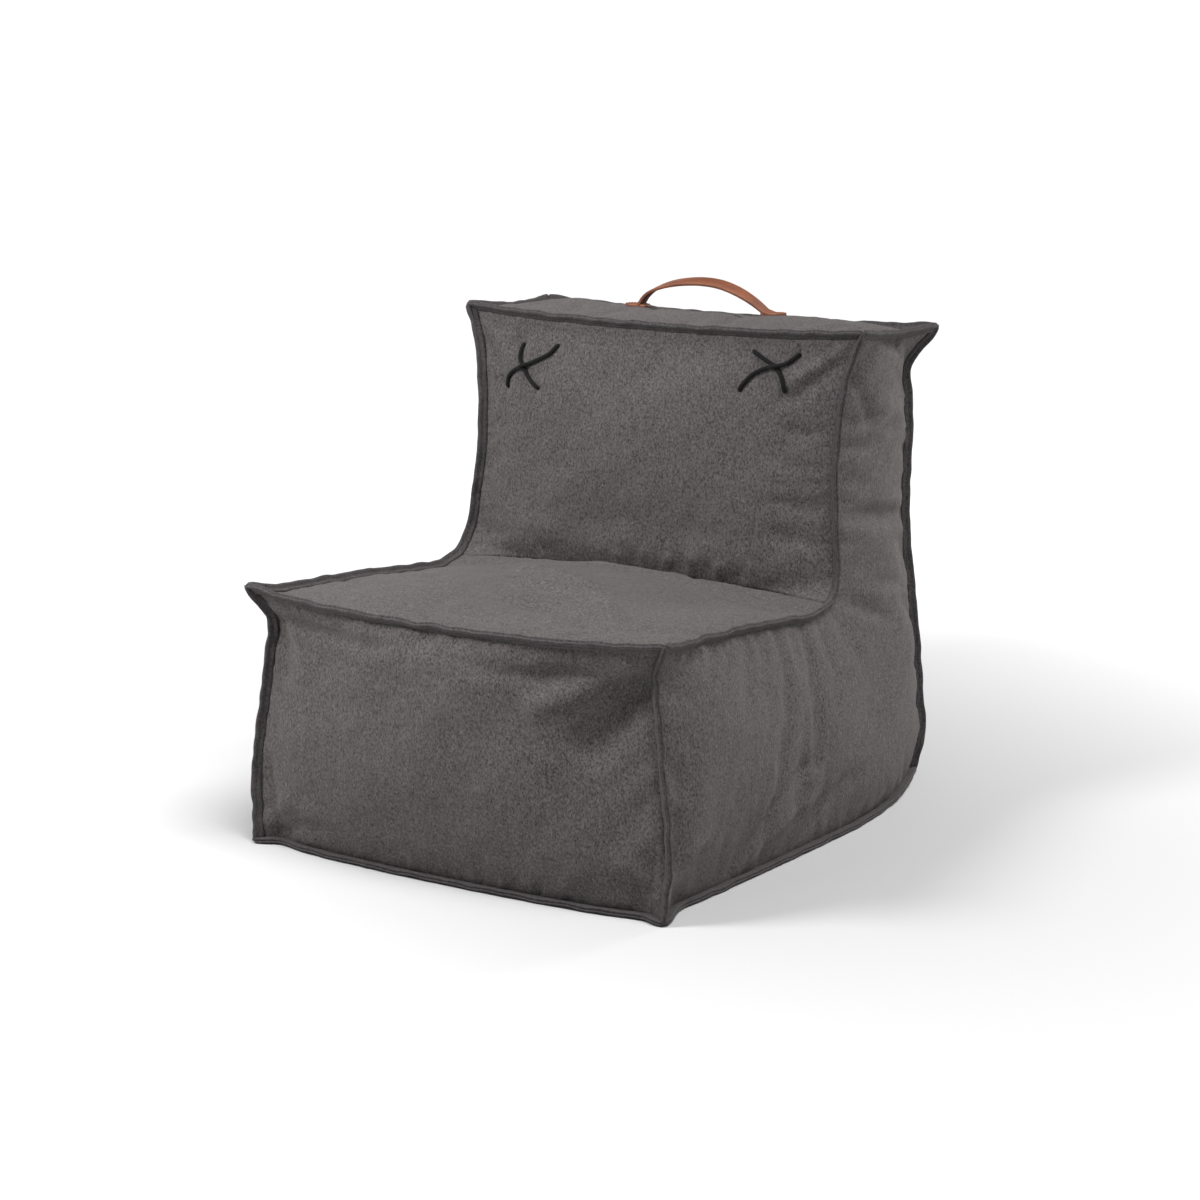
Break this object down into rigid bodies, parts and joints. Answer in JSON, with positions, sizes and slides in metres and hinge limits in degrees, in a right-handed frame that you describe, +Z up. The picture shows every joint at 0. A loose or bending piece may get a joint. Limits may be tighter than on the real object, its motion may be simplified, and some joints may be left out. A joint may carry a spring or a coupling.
{
  "type": "bean bag chair",
  "caption": "Low lounge bean bag chair with seat and backrest, flanged seams, cord tufts, a leather carrying handle on top and a zip low on the rear.",
  "frame": {"origin": "on the floor, at the centre of the footprint, midway between the front and rear seam lines", "axes": "+X to the right for someone facing the chair, +Y from the front towards the back, +Z up"},
  "size_m": [0.7796, 0.888, 0.7895],
  "materials": {
    "cover_fabric": "matte heathered weave",
    "base_fabric": "matte",
    "flange_fabric": "matte heathered weave",
    "liner_fabric": "matte",
    "bead_fill": "matte",
    "leather": "satin",
    "cord": "matte",
    "webbing": "matte",
    "zip_tape": "matte",
    "zip_chain": "satin",
    "zip_metal": "satin"
  },
  "bodies": {
    "bag": {"front_panel": "cover_fabric", "seat_panel": "cover_fabric", "backrest_panel": "cover_fabric", "top_panel": "cover_fabric", "rear_panel_upper": "cover_fabric", "rear_panel_lower": "cover_fabric", "left_side_panel": "cover_fabric", "right_side_panel": "cover_fabric", "bottom_panel": "base_fabric", "front_top_flange": "flange_fabric", "back_top_front_flange": "flange_fabric", "back_top_rear_flange": "flange_fabric", "floor_front_flange": "flange_fabric", "floor_rear_flange": "flange_fabric", "front_left_flange": "flange_fabric", "seat_back_left_flange": "flange_fabric", "back_top_left_flange": "flange_fabric", "rear_left_flange": "flange_fabric", "floor_left_flange": "flange_fabric", "front_right_flange": "flange_fabric", "seat_back_right_flange": "flange_fabric", "back_top_right_flange": "flange_fabric", "rear_right_flange": "flange_fabric", "floor_right_flange": "flange_fabric", "seat_liner": "liner_fabric", "seat_bead_fill": "bead_fill", "back_liner": "liner_fabric", "back_bead_fill": "bead_fill", "crease_baffle": "liner_fabric", "tuft_cord_left_a": "cord", "tuft_cord_left_b": "cord", "tuft_cord_right_a": "cord", "tuft_cord_right_b": "cord", "tuft_anchor_left": "webbing", "tuft_anchor_right": "webbing", "handle_backing_left": "webbing", "handle_backing_right": "webbing", "zip_tape_upper": "zip_tape", "zip_tape_lower": "zip_tape", "zip_chain_upper": "zip_chain", "zip_chain_lower": "zip_chain", "zip_stop_left": "zip_metal", "zip_stop_right": "zip_metal", "handle_tab_left": "leather", "handle_tab_right": "leather"},
    "strap": {"handle_strap": "leather"},
    "slider": {"zip_slider": "zip_metal"},
    "pull": {"zip_pull": "zip_metal"}
  },
  "joints": [
    {"name": "handle_swing", "type": "hinge", "parent": "bag", "child": "strap", "pos_m": [0.014, 0.29419, 0.75799], "axis": [1, 0, 0], "range_deg": [-55, 55], "stiffness_Nm_per_rad": 0.05},
    {"name": "zip_slide", "type": "slide", "parent": "bag", "child": "slider", "axis": [1, 0, 0], "range_m": [-0.603, 0]},
    {"name": "zip_pull_tilt", "type": "hinge", "parent": "slider", "child": "pull", "pos_m": [0.3015, 0.4155, 0.07], "axis": [1, 0, 0], "range_deg": [0, 110]}
  ]
}
